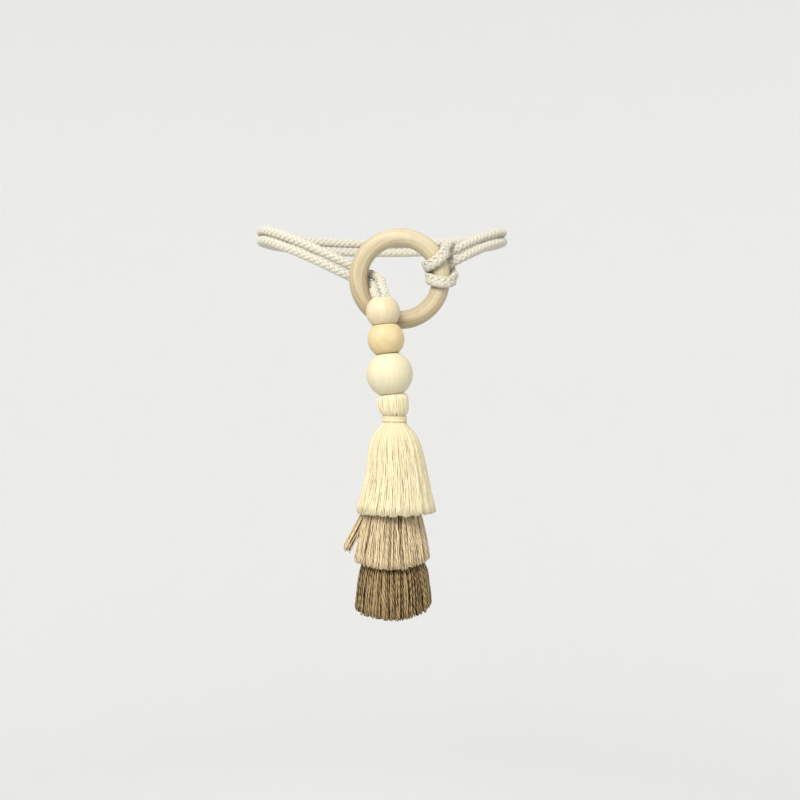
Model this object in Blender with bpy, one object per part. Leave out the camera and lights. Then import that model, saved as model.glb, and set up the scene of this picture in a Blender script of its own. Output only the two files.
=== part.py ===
"""Curtain tieback: one braided cord doubled round a gathered curtain, hitched to a wooden ring,
and threaded through three wooden beads to a three-tier tassel.

The frame's origin is the middle of the cord's loop, where the gathered curtain stands.
+X points right, +Z up, and the ring, the beads and the tassel hang in front, towards -Y.
Sizes are written in millimetres and multiplied by MM.
"""

import math
import random

import bmesh
import bpy
import numpy as np
from mathutils import Vector

MM = 0.001

# The wooden ring stands upright, its face towards -Y.
RING_CENTRE = (10.7, -50.2, -31.6)
RING_RADIUS = 22.5
RING_WIRE = 5.0

# The beads hang one under the other on a line that leans a little to the right.
CHAIN_LEAN = math.radians(6.1)
CHAIN_Y = -64.5
BEAD_BORE = 5.85
BEAD_RIM = 6.15
BEADS = [
    # name, radius, centre x, centre z
    ("bead_small", 9.0, 1.90, -51.10),
    ("bead_medium", 9.8, 3.44, -65.51),
    ("bead_large", 12.3, 5.41, -84.00),
]

BEAD_COLOURS = [(0.76, 0.68, 0.50), (0.78, 0.66, 0.42), (0.82, 0.74, 0.58)]

# The cord is one length, doubled: strands A and B run side by side.
CORD_RADIUS = 2.65
PAIR_HALF = 2.83
PAIR_ROUTE = [
    # x, y, z of the pair's middle; side where strand A lies, degrees from up towards +X; thickness
    (6.5, -64.5, -94.1, 84, 0.94),
    (4.0, -64.5, -70.8, 84, 0.94),
    (1.8, -64.5, -50.2, 84, 0.94),
    (1.15, -64.1, -44.8, 83, 0.94),
    (0.2, -61.2, -40.8, 72, 0.94),
    (-0.9, -56.0, -37.4, 48, 0.94),
    (-1.1, -50.7, -34.1, 28, 0.9),
    (-4.7, -44.0, -31.2, 22, 0.94),
    (-10.6, -41.4, -28.9, 22, 1.0),
    (-18.4, -40.5, -25.2, 27, 1.0),
    (-31.0, -38.6, -18.9, 27, 1.0),
    (-45.0, -33.4, -12.0, 25, 1.0),
    (-57.5, -25.8, -6.2, 18, 1.0),
    (-67.2, -15.6, -1.8, 6, 1.0),
    (-72.3, 0.0, 0.0, 0, 1.0),
    (-66.8, 16.1, 0.0, 0, 1.0),
    (-51.1, 29.7, 0.0, 0, 1.0),
    (-27.7, 38.8, 0.0, 0, 1.0),
    (0.0, 42.0, 0.0, 0, 1.0),
    (27.7, 38.8, 0.0, 0, 1.0),
    (51.1, 29.7, 0.0, 0, 1.0),
    (66.8, 16.1, -0.2, 0, 1.0),
    (72.3, 0.0, -0.4, -3, 1.0),
    (67.6, -14.9, -3.2, -10, 1.0),
    (58.0, -26.5, -7.8, -24, 1.0),
    (50.4, -35.2, -12.4, -28, 0.97),
    (44.4, -41.6, -16.2, -30, 0.9),
    (38.6, -42.9, -19.6, -30, 0.86),
    (32.8, -41.9, -23.2, -30, 0.84),
]
KNOT_THICKNESS = 0.82
KNOT_ROUTE = [
    # x, y, z from strand A, round the ring, down behind the pair and round the ring again to strand B
    (26.2, -44.2, -23.4),
    (23.6, -50.0, -24.2),
    (25.4, -55.7, -23.6),
    (30.5, -57.9, -21.4),
    (34.7, -55.5, -17.2),
    (36.9, -49.2, -12.4),
    (38.6, -43.0, -10.0),
    (39.8, -38.6, -11.6),
    (40.2, -37.0, -17.2),
    (40.8, -37.3, -22.8),
    (41.9, -40.8, -27.0),
    (42.2, -46.8, -29.9),
    (38.7, -55.4, -34.0),
    (33.2, -57.9, -34.9),
    (27.8, -55.9, -33.9),
    (25.4, -50.4, -32.4),
    (27.6, -44.2, -30.2),
]
MAX_STEP = 15.0
MAX_TURN = math.radians(35)
CORD_SIDES_RESOLUTION = 2

# The cream tier's head hangs under the lowest bead, tied round with a thread.
HEAD_PROFILE = [
    # radius, z: outside of the yarn, from the top down to where the locks part
    (4.6, -94.9),
    (6.35, -95.4),
    (7.7, -97.0),
    (8.2, -99.2),
    (8.0, -102.0),
    (7.3, -104.4),
    (6.3, -105.3),
    (5.45, -105.7),
    (5.45, -109.9),
    (6.4, -110.2),
]
BINDING_INNER = 5.78
BINDING_OUTER = 6.75
BINDING_TOP = -106.05
BINDING_FOOT = -109.55

# Each tier is a skirt of locks under its own head. The two lower heads reach up inside the tier above.
TIERS = [
    # name, colour, locks in a ring, rings of locks, how much lower the hem hangs in front than behind
    ("tassel_cream", (0.86, 0.79, 0.50), 36, 2, 0.0),
    ("tassel_beige", (0.53, 0.42, 0.25), 32, 2, 2.6),
    ("tassel_brown", (0.20, 0.14, 0.08), 28, 3, 2.6),
]
SKIRTS = {
    # z, x of the skirt's middle, outer radius, inner radius
    "tassel_cream": [
        (-110.5, 7.9, 6.6, 2.9),
        (-113.6, 8.0, 9.9, 3.7),
        (-119.5, 8.1, 13.4, 4.7),
        (-136.0, 9.2, 16.4, 7.9),
        (-156.4, 8.8, 21.2, 17.0),
    ],
    "tassel_beige": [
        (-139.0, 8.2, 6.0, 2.6),
        (-147.0, 7.9, 10.4, 4.0),
        (-158.5, 6.9, 15.4, 5.7),
        (-171.0, 6.6, 18.5, 9.4),
        (-182.4, 6.6, 20.4, 16.8),
    ],
    "tassel_brown": [
        (-166.0, 6.8, 6.0, 1.5),
        (-170.0, 6.9, 8.0, 1.6),
        (-179.0, 7.1, 13.4, 1.8),
        (-188.0, 7.3, 17.8, 2.0),
        (-208.4, 7.3, 20.4, 2.4),
    ],
}
INNER_HEADS = {
    # radius, height above the skirt's root: the gathered yarn inside the tier above
    "tassel_beige": [(1.9, 28.2), (2.3, 25.5), (3.9, 14.0), (5.2, 5.5), (4.7, 3.0), (5.2, 1.2)],
    "tassel_brown": [(1.9, 26.7), (2.2, 24.0), (3.5, 13.0), (5.0, 5.5), (4.7, 3.0), (5.2, 1.2)],
}
LOCK_SHARE = 0.84
RING_GAP = 0.34
HEM_UNEVENNESS = 0.7
STRAY_LOCKS = {
    # tier: (lock in the outer ring, how far its tip stands out, how much shorter it hangs)
    "tassel_beige": [(16, 3.4, 7.6), (17, 4.4, 6.4)],
}

for old in list(bpy.data.objects):
    bpy.data.objects.remove(old, do_unlink=True)


def material(name, colour, roughness):
    """A Principled material in one colour."""
    made = bpy.data.materials.new(name)
    made.use_nodes = True
    shader = made.node_tree.nodes["Principled BSDF"]
    shader.inputs["Base Color"].default_value = (*colour, 1.0)
    shader.inputs["Roughness"].default_value = roughness
    shader.inputs["Metallic"].default_value = 0.0
    return made


def add_object(name, data, made_material):
    """Links a named object that shows the data."""
    data.materials.append(made_material)
    obj = bpy.data.objects.new(name, data)
    bpy.context.scene.collection.objects.link(obj)
    return obj


def finish_mesh(name, bm, smooth_angle=None):
    """Turns the bmesh into a mesh with its faces outward, shaded smooth below the given angle."""
    bmesh.ops.recalc_face_normals(bm, faces=bm.faces[:])
    mesh = bpy.data.meshes.new(name)
    bm.to_mesh(mesh)
    bm.free()
    if smooth_angle is not None:
        mesh.shade_smooth()
        mesh.set_sharp_from_angle(angle=smooth_angle)
    return mesh


def spin_profile(points, steps, closed):
    """Turns a profile of (radius, z) in millimetres round +Z. An open profile ends on the axis."""
    bm = bmesh.new()
    verts = [bm.verts.new((radius * MM, 0.0, z * MM)) for radius, z in points]
    edges = [bm.edges.new(pair) for pair in zip(verts, verts[1:])]
    if closed:
        edges.append(bm.edges.new((verts[-1], verts[0])))
    bmesh.ops.spin(bm, geom=verts + edges, cent=(0, 0, 0), axis=(0, 0, 1), angle=math.tau,
                   steps=steps, use_merge=True)
    bmesh.ops.remove_doubles(bm, verts=bm.verts[:], dist=1e-7)
    return bm


def arc(centre_r, centre_z, radius, start, end, count):
    """Points along an arc, with its angles in degrees from the outward radius."""
    angles = [math.radians(start + (end - start) * i / count) for i in range(count + 1)]
    return [(centre_r + radius * math.cos(a), centre_z + radius * math.sin(a)) for a in angles]


def wooden_ring():
    """A round ring of round section, upright and facing -Y."""
    section = arc(RING_RADIUS, 0.0, RING_WIRE, 0, 360 - 360 / 14, 13)
    bm = spin_profile(section, 44, closed=True)
    ring = add_object("wooden_ring", finish_mesh("wooden_ring", bm, math.radians(60)),
                      material("ring wood", (0.78, 0.66, 0.42), 0.45))
    ring.location = Vector(RING_CENTRE) * MM
    ring.rotation_euler = (math.radians(90), 0, 0)


def bead(name, radius, x, z, colour):
    """A ball with a straight bore whose rims are rounded, threaded on the leaning line."""
    flat = math.sqrt(radius ** 2 - BEAD_RIM ** 2)
    rim_angle = math.degrees(math.asin(flat / radius))
    profile = arc(0.0, 0.0, radius, rim_angle, -rim_angle, 11)
    profile += [(BEAD_BORE, -flat + 0.3), (BEAD_BORE, flat - 0.3)]
    bm = spin_profile(profile, 28, closed=True)
    ball = add_object(name, finish_mesh(name, bm, math.radians(50)), material(name + " wood", colour, 0.5))
    ball.location = Vector((x, CHAIN_Y, z)) * MM
    ball.rotation_euler = (0, -CHAIN_LEAN, 0)


def strand_points(side):
    """Points of one strand, beside the pair's middle line, with their thickness."""
    middle = np.array([row[:3] for row in PAIR_ROUTE])
    lean = np.radians([row[3] for row in PAIR_ROUTE])
    along = np.gradient(middle, axis=0)
    along /= np.linalg.norm(along, axis=1)[:, None]
    across = np.stack([np.sin(lean), np.zeros(len(lean)), np.cos(lean)], axis=1)
    across -= (across * along).sum(axis=1)[:, None] * along
    across /= np.linalg.norm(across, axis=1)[:, None]
    points = middle + side * PAIR_HALF * across
    return [(*point, row[4]) for point, row in zip(points, PAIR_ROUTE)]


def cord_route():
    """The whole cord: strand A up from the tassel, round the back, the hitch, and strand B back again."""
    knot = [(*point, KNOT_THICKNESS) for point in KNOT_ROUTE]
    return np.array(strand_points(1) + knot + strand_points(-1)[::-1])


def between(p, q, start, end, t):
    """The point at t on the straight line that is at p when t is start and at q when t is end."""
    return ((end - t) * p + (t - start) * q) / (end - start)


def smooth_curve(points, per_span):
    """A centripetal Catmull-Rom curve through the points; further columns follow along."""
    padded = np.vstack([2 * points[0] - points[1], points, 2 * points[-1] - points[-2]])
    curve = []
    for a, b, c, d in zip(padded, padded[1:], padded[2:], padded[3:]):
        roots = [math.sqrt(np.linalg.norm(q[:3] - p[:3])) for p, q in ((a, b), (b, c), (c, d))]
        knots = np.cumsum([0.0] + roots)
        for t in np.linspace(knots[1], knots[2], per_span, endpoint=False):
            ab = between(a, b, knots[0], knots[1], t)
            bc = between(b, c, knots[1], knots[2], t)
            cd = between(c, d, knots[2], knots[3], t)
            abc = between(ab, bc, knots[0], knots[2], t)
            bcd = between(bc, cd, knots[1], knots[3], t)
            curve.append(between(abc, bcd, knots[1], knots[2], t))
    curve.append(points[-1])
    return np.array(curve)


def thinned(curve):
    """Keeps a point wherever the curve has run MAX_STEP or turned by MAX_TURN since the last one kept."""
    kept = [curve[0]]
    run = 0.0
    turn = 0.0
    for before, here, after in zip(curve, curve[1:], curve[2:]):
        run += np.linalg.norm(here[:3] - before[:3])
        turn += Vector(here[:3] - before[:3]).angle(Vector(after[:3] - here[:3]))
        if run >= MAX_STEP or turn >= MAX_TURN:
            kept.append(here)
            run = 0.0
            turn = 0.0
    kept.append(curve[-1])
    return kept


def tie_cord():
    """The braided cord as one plain tube, thinner in the bores and where the hitch grips the ring."""
    curve = bpy.data.curves.new("tie_cord", "CURVE")
    curve.dimensions = "3D"
    curve.bevel_depth = CORD_RADIUS * MM
    curve.bevel_resolution = CORD_SIDES_RESOLUTION
    curve.use_fill_caps = True
    points = thinned(smooth_curve(cord_route(), 24))
    spline = curve.splines.new("POLY")
    spline.points.add(len(points) - 1)
    for point, (x, y, z, thickness) in zip(spline.points, points):
        point.co = (x * MM, y * MM, z * MM, 1.0)
        point.radius = thickness
    add_object("tie_cord", curve, material("cotton cord", (0.80, 0.76, 0.64), 0.9))


def neck_binding():
    """The thread wound round the neck of the top tassel, in even turns."""
    height = BINDING_TOP - BINDING_FOOT
    turns = 4
    outside = []
    for turn in range(turns):
        top = BINDING_TOP - height * turn / turns
        outside += [(BINDING_OUTER - 0.25, top - 0.1), (BINDING_OUTER, top - height / turns / 2)]
    outside.append((BINDING_OUTER - 0.25, BINDING_FOOT + 0.1))
    profile = [(BINDING_INNER, BINDING_TOP)] + outside + [(BINDING_INNER, BINDING_FOOT)]
    bm = spin_profile(profile, 26, closed=True)
    band = add_object("neck_binding", finish_mesh("neck_binding", bm, math.radians(60)),
                      material("binding thread", (0.82, 0.74, 0.54), 0.8))
    band.location = (SKIRTS["tassel_cream"][0][1] * MM, CHAIN_Y * MM, 0)


def lean_head(bm, name):
    """Leans a lower tier's head so that its top meets the middle of the tier above."""
    if name not in INNER_HEADS:
        return
    names = [tier[0] for tier in TIERS]
    above = SKIRTS[names[names.index(name) - 1]][0]
    root = SKIRTS[name][0]
    for vert in bm.verts:
        vert.co.x += (above[1] - root[1]) * MM * (vert.co.z - root[0] * MM) / ((above[0] - root[0]) * MM)


def head_profile(name):
    """Outside of a tier's head, from its top down to the skirt's root."""
    root = SKIRTS[name][0][0]
    if name in INNER_HEADS:
        return [(radius, root + above) for radius, above in INNER_HEADS[name]]
    return HEAD_PROFILE


def ring_bounds(ring, rings, outer, inner):
    """Inner and outer radius of one ring of locks, with a gap to its neighbours."""
    width = (outer - inner) / rings
    return inner + width * ring + RING_GAP / 2, inner + width * (ring + 1) - RING_GAP / 2


def tassel_tier(name, colour, locks, rings, front_dip, rng):
    """A head whose underside parts into rings of hanging locks."""
    skirt = SKIRTS[name]
    root, axis, outer, inner = skirt[0]
    bounds = [ring_bounds(ring, rings, outer, inner) for ring in range(rings)]
    top = head_profile(name)
    underside = [(radius, root) for pair in reversed(bounds) for radius in reversed(pair)]
    profile = [(0.0, top[0][1])] + top + [(outer + 0.1, root)] + underside + [(0.0, root)]
    bm = spin_profile(profile, 2 * locks, closed=False)
    bmesh.ops.translate(bm, verts=bm.verts[:], vec=(axis * MM, CHAIN_Y * MM, 0))
    lean_head(bm, name)

    strays = {index: (out, short) for index, out, short in STRAY_LOCKS.get(name, [])}
    for ring, (low, high) in enumerate(bounds):
        for lock in range(locks):
            angle = math.tau * (lock + 0.25) / locks
            face = root_face(bm, axis, root, (low + high) / 2, angle)
            out, short = strays.get(lock, (0.0, 0.0)) if ring == rings - 1 else (0.0, 0.0)
            longer = rng.uniform(-HEM_UNEVENNESS, HEM_UNEVENNESS) - front_dip / 2 * math.sin(angle)
            swing = rng.uniform(-0.5, 0.5) * (1 - LOCK_SHARE) * math.tau / locks
            hang_lock(bm, face, skirt, ring, rings, angle, math.tau / locks, longer, swing, out, short)
    add_object(name, finish_mesh(name, bm), material(name + " yarn", colour, 0.95))


def root_face(bm, axis, root, radius, angle):
    """The underside's face that holds the given place."""
    place = Vector((axis + radius * math.cos(angle), CHAIN_Y + radius * math.sin(angle), root)) * MM
    flat = [face for face in bm.faces if abs(face.calc_center_median().z - root * MM) < 1e-6]
    return min(flat, key=lambda face: (face.calc_center_median() - place).length)


def hang_lock(bm, face, skirt, ring, rings, angle, pitch, longer, swing, out, short):
    """Extrudes one lock from its root face down through the skirt's levels."""
    length = skirt[0][0] - skirt[-1][0]
    for level, (z, axis, outer, inner) in enumerate(skirt[1:], start=1):
        down = (skirt[0][0] - z) / length
        loose = max(0.0, 2 * down - 1)
        low, high = ring_bounds(ring, rings, outer, inner)
        last_axis = skirt[level - 1][1]
        face = bmesh.ops.extrude_discrete_faces(bm, faces=[face])["faces"][0]
        middle = face.calc_center_median() - Vector((last_axis * MM, CHAIN_Y * MM, 0))
        for vert in face.verts:
            reach = vert.co - Vector((last_axis * MM, CHAIN_Y * MM, 0))
            outside = reach.xy.length > middle.xy.length
            ahead = middle.x * reach.y - middle.y * reach.x > 0
            radius = (high if outside else low) + out * loose
            turn = angle + swing * down + (0.5 if ahead else -0.5) * LOCK_SHARE * pitch
            vert.co.x = (axis + radius * math.cos(turn)) * MM
            vert.co.y = (CHAIN_Y + radius * math.sin(turn)) * MM
            vert.co.z = (z - longer * down ** 2 + short * loose) * MM


wooden_ring()
for (bead_name, bead_radius, bead_x, bead_z), wood in zip(BEADS, BEAD_COLOURS):
    bead(bead_name, bead_radius, bead_x, bead_z, wood)
tie_cord()
neck_binding()
for seed, (tier_name, tier_colour, lock_count, ring_count, dip) in enumerate(TIERS):
    tassel_tier(tier_name, tier_colour, lock_count, ring_count, dip, random.Random(seed))
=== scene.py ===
# %% [markdown]
# # A curtain tieback with a three-tier tassel
# A tieback holds a gathered curtain at its waist. One braided cotton cord is doubled round the
# cloth and hitched to a turned wooden ring, and both its ends hang down through three wooden
# beads into the head of a tassel. This lesson dresses a plain model of it: the plain model is
# loaded as a fixed frame, and every piece here is made in its place, in metres.

# %% The frame
import math

import bmesh
import bpy
import numpy as np
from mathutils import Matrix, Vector


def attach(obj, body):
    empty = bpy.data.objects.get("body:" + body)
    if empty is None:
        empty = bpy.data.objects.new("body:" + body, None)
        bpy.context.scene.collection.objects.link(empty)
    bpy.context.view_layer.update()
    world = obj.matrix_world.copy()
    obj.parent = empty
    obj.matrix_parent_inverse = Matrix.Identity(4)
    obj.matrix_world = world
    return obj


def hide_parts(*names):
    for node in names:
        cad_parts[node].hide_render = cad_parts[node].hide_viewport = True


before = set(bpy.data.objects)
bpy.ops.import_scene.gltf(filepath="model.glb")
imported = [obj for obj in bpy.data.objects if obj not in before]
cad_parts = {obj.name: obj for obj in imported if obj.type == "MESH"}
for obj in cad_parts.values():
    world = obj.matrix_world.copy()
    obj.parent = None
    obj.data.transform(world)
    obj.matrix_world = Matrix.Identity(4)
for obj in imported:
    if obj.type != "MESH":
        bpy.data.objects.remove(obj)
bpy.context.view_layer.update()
MM = 0.001

# %% [markdown]
# ## The camera
# The tieback is looked at level and from the front, as it hangs on a curtain at chest height.
# The lens sees 436 mm of width at half a metre. A wider one, set closer, would swell what hangs
# in front and shrink the loop behind it, so a normal lens keeps the sizes true.

# %% Camera
lens = bpy.data.cameras.new("camera")
lens.sensor_width = 36
lens.lens = 41.28
camera = bpy.data.objects.new("camera", lens)
camera.location = (0.0109, -0.5502, -0.0977)
camera.rotation_euler = (math.radians(90), 0, 0)
bpy.context.scene.collection.objects.link(camera)
bpy.context.scene.camera = camera
print("camera sees", round(36 / lens.lens * 500), "mm at 500 mm")

# %% [markdown]
# ## The studio
# A pale floor lies well below the tassel and curves up into a wall all round, so no edge shows
# behind the object. It is an arc spun about the middle. Soft light comes from the room, from a
# large lamp above and in front, a little to the left, and from a weak one on the right. The
# threads then throw small soft shadows on each other and the wood keeps a gentle highlight. Even
# light from all round would be simpler, but then nothing tells one thread from the next.

# %% Floor and light
def area_light(name, place, aim, size, power, colour):
    """A square lamp at a place in metres, turned towards a point."""
    lamp = bpy.data.lights.new(name, "AREA")
    lamp.size = size
    lamp.energy = power
    lamp.color = colour
    holder = bpy.data.objects.new(name, lamp)
    holder.location = place
    holder.rotation_euler = (Vector(aim) - Vector(place)).to_track_quat("-Z", "Y").to_euler()
    bpy.context.scene.collection.objects.link(holder)


LAMPS_AIM = (0.0, -0.05, -0.1)
area_light("key", (-0.36, -0.98, 0.68), LAMPS_AIM, size=0.6, power=18.5, colour=(1.0, 0.985, 0.955))
area_light("fill", (0.95, -0.85, 0.35), LAMPS_AIM, size=0.8, power=1.6, colour=(0.96, 0.98, 1.0))

world = bpy.data.worlds.new("soft room")
bpy.context.scene.world = world
world.use_nodes = True
room = world.node_tree.nodes["Background"]
room.inputs["Color"].default_value = (1.0, 1.0, 1.0, 1.0)
room.inputs["Strength"].default_value = 0.76
bpy.context.scene.view_settings.view_transform = "Standard"

FLOOR_HEIGHT = -0.8
FLAT_RADIUS = 1.3
BEND_RADIUS = 0.7
WALL_TOP = 1.5
BEND_STEPS = 12

shape = bmesh.new()
line = [shape.verts.new((0, 0, FLOOR_HEIGHT)), shape.verts.new((FLAT_RADIUS, 0, FLOOR_HEIGHT))]
for step in range(1, BEND_STEPS + 1):
    bend = math.radians(90 / BEND_STEPS * step)
    reach = FLAT_RADIUS + BEND_RADIUS * math.sin(bend)
    line.append(shape.verts.new((reach, 0, FLOOR_HEIGHT + BEND_RADIUS * (1 - math.cos(bend)))))
line.append(shape.verts.new((FLAT_RADIUS + BEND_RADIUS, 0, WALL_TOP)))
edges = [shape.edges.new(pair) for pair in zip(line, line[1:])]
bmesh.ops.spin(shape, geom=line + edges, cent=(0, 0, 0), axis=(0, 0, 1), angle=math.tau, steps=96,
               use_merge=True)
bmesh.ops.remove_doubles(shape, verts=shape.verts[:], dist=1e-5)
bmesh.ops.recalc_face_normals(shape, faces=shape.faces[:])
for face in shape.faces:
    face.smooth = True
floor_mesh = bpy.data.meshes.new("floor")
shape.to_mesh(floor_mesh)
shape.free()
floor = bpy.data.objects.new("floor", floor_mesh)
bpy.context.scene.collection.objects.link(floor)
floor_paint = bpy.data.materials.new("floor paint")
floor_paint.use_nodes = True
paint = floor_paint.node_tree.nodes["Principled BSDF"]
paint.inputs["Base Color"].default_value = (0.88, 0.88, 0.875, 1.0)
paint.inputs["Roughness"].default_value = 0.9
floor.data.materials.append(floor_paint)

# %% [markdown]
# ## Lines through space
# Cord and yarn are long thin things that follow a line. The lines start as a few points of the
# route. A smooth curve goes through them, and it is then cut into even steps so that a braid
# keeps the same pitch all along. Blender's curve objects could hold the route too, but the braid
# and the skirts need the points as numbers, so the curve is worked out here.

# %% Curves
def between(p, q, start, end, t):
    """The point at t on the straight line that is at p when t is start and at q when t is end."""
    return ((end - t) * p + (t - start) * q) / (end - start)


def smooth_curve(points, per_span):
    """A centripetal Catmull-Rom curve through the points; further columns follow along."""
    padded = np.vstack([2 * points[0] - points[1], points, 2 * points[-1] - points[-2]])
    curve = []
    for a, b, c, d in zip(padded, padded[1:], padded[2:], padded[3:]):
        roots = [math.sqrt(np.linalg.norm(q[:3] - p[:3])) for p, q in ((a, b), (b, c), (c, d))]
        knots = np.cumsum([0.0] + roots)
        for t in np.linspace(knots[1], knots[2], per_span, endpoint=False):
            ab = between(a, b, knots[0], knots[1], t)
            bc = between(b, c, knots[1], knots[2], t)
            cd = between(c, d, knots[2], knots[3], t)
            abc = between(ab, bc, knots[0], knots[2], t)
            bcd = between(bc, cd, knots[1], knots[3], t)
            curve.append(between(abc, bcd, knots[1], knots[2], t))
    curve.append(points[-1])
    return np.array(curve)


def even_steps(curve, step):
    """The same line with evenly spaced points, and its length."""
    gaps = np.linalg.norm(np.diff(curve[:, :3], axis=0), axis=1)
    marks = np.concatenate([[0.0], np.cumsum(gaps)])
    wanted = np.linspace(0, marks[-1], max(2, round(marks[-1] / step) + 1))
    return np.stack([np.interp(wanted, marks, column) for column in curve.T], axis=1), marks[-1]


def unit(vectors):
    """The same directions with length one."""
    return vectors / np.linalg.norm(vectors, axis=-1, keepdims=True)


# %% [markdown]
# ## A bundle of yarns
# A tassel has hundreds of yarns and a braid has eight. Each is a closed tube with a few sides.
# Blender's own tools make one: a grid is rolled up, its seam merged and its two ends filled. An
# Array modifier repeats it, and then each copy's rings are laid along its own line. Every yarn
# carries two numbers for its material: shade makes one yarn, or one stretch of it, paler than the
# next, as its own tone and also as painted shade and painted light, and phase is where its twist
# starts. The first coordinate of its UV map runs round it, and a quarter of the way is its outer
# crest.

# %% Bundle of yarns
def yarn_bundle(name, lines, outward, wide, thick, shades, sides):
    """A mesh of closed tubes. Lines and outward are yarns by rings by xyz, in mm; wide and thick
    are the half sizes across the bundle's surface and out of it, yarns by rings."""
    yarns, rings = lines.shape[:2]
    tube = bmesh.new()
    tube.loops.layers.uv.new("UVMap")
    bmesh.ops.create_grid(tube, x_segments=sides, y_segments=rings - 1, size=0.5, calc_uvs=True)
    for vert in tube.verts:
        turn = math.tau * (vert.co.x + 0.5)
        vert.co = (math.cos(turn), math.sin(turn), vert.co.y + 0.5)
    bmesh.ops.remove_doubles(tube, verts=tube.verts[:], dist=1e-5)
    rims = [edge for edge in tube.edges if edge.is_boundary]
    ends = bmesh.ops.holes_fill(tube, edges=rims, sides=0)["faces"]
    for corner in [corner for face in ends for corner in face.loops]:
        corner[tube.loops.layers.uv.active].uv = (0.16, 0.0)
    bmesh.ops.recalc_face_normals(tube, faces=tube.faces[:])
    for face in tube.faces:
        face.smooth = len(face.verts) == 4
    one_mesh = bpy.data.meshes.new(name)
    tube.to_mesh(one_mesh)
    tube.free()

    one = bpy.data.objects.new(name, one_mesh)
    bpy.context.scene.collection.objects.link(one)
    repeat = one.modifiers.new("repeat", "ARRAY")
    repeat.count = yarns
    repeat.use_relative_offset = False
    many = bpy.data.meshes.new_from_object(one.evaluated_get(bpy.context.evaluated_depsgraph_get()))
    places = np.empty(len(one_mesh.vertices) * 3, np.float32)
    one_mesh.vertices.foreach_get("co", places)
    bpy.data.objects.remove(one)

    x, y, height = places.reshape(-1, 3).T
    ring = np.rint(height * (rings - 1)).astype(int)
    along = unit(np.gradient(lines, axis=1))
    out = unit(outward - (outward * along).sum(axis=2, keepdims=True) * along)
    across = np.cross(out, along)
    spots = (lines[:, ring] + (wide[:, ring] * x)[:, :, None] * across[:, ring]
             + (thick[:, ring] * y)[:, :, None] * out[:, ring])
    many.vertices.foreach_set("co", (spots.reshape(-1) * MM).astype(np.float32))
    shade = many.attributes.new("shade", "FLOAT", "POINT")
    shades = np.broadcast_to(shades.reshape(yarns, -1), (yarns, rings))[:, ring]
    shade.data.foreach_set("value", shades.reshape(-1).astype(np.float32))
    phase = many.attributes.new("phase", "FLOAT", "POINT")
    starts = np.random.default_rng(yarns).random(yarns)
    phase.data.foreach_set("value", np.repeat(starts, len(ring)).astype(np.float32))
    many.name = name
    many.update()
    return many


def place_piece(name, mesh, finish, slot_name, *replaced):
    """Puts a finished mesh into the scene, on the frame's one body."""
    piece = bpy.data.objects.new(name, mesh)
    bpy.context.scene.collection.objects.link(piece)
    piece.data.materials.clear()
    piece.data.materials.append(finish)
    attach(piece, "root")
    if replaced:
        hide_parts(*replaced)
    triangles = sum(len(face.vertices) - 2 for face in mesh.polygons)
    print(name, triangles, "triangles")
    return piece


def joined(name, meshes):
    """Several meshes as one."""
    whole = bmesh.new()
    for mesh in meshes:
        whole.from_mesh(mesh)
    mesh = bpy.data.meshes.new(name)
    whole.to_mesh(mesh)
    whole.free()
    return mesh


# %% [markdown]
# ## Writing finishes as sums
# A material is a small tree of nodes. Signal wraps the socket that carries a number, so that a
# line such as 1 - mask * 0.3 adds the Math nodes by itself. Finish builds the tree: its one
# method makes any other node, and colours go through Mix because a Math node would lose them.

# %% Signals and finishes
class Signal:
    """A number on its way through a material."""

    def __init__(self, finish, socket):
        self.finish = finish
        self.socket = socket

    def maths(self, operation, first, second=0.0):
        return self.finish.node("ShaderNodeMath", {"operation": operation}, {0: first, 1: second})

    def __add__(self, other):
        return self.maths("ADD", self, other)

    def __radd__(self, other):
        return self.maths("ADD", other, self)

    def __sub__(self, other):
        return self.maths("SUBTRACT", self, other)

    def __rsub__(self, other):
        return self.maths("SUBTRACT", other, self)

    def __mul__(self, other):
        return self.maths("MULTIPLY", self, other)

    def __rmul__(self, other):
        return self.maths("MULTIPLY", other, self)

    def __pow__(self, other):
        return self.maths("POWER", self, other)

    def sine(self):
        return self.maths("SINE", self)

    def part(self, output):
        """Another output of the same node."""
        return Signal(self.finish, self.socket.node.outputs[output])


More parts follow.
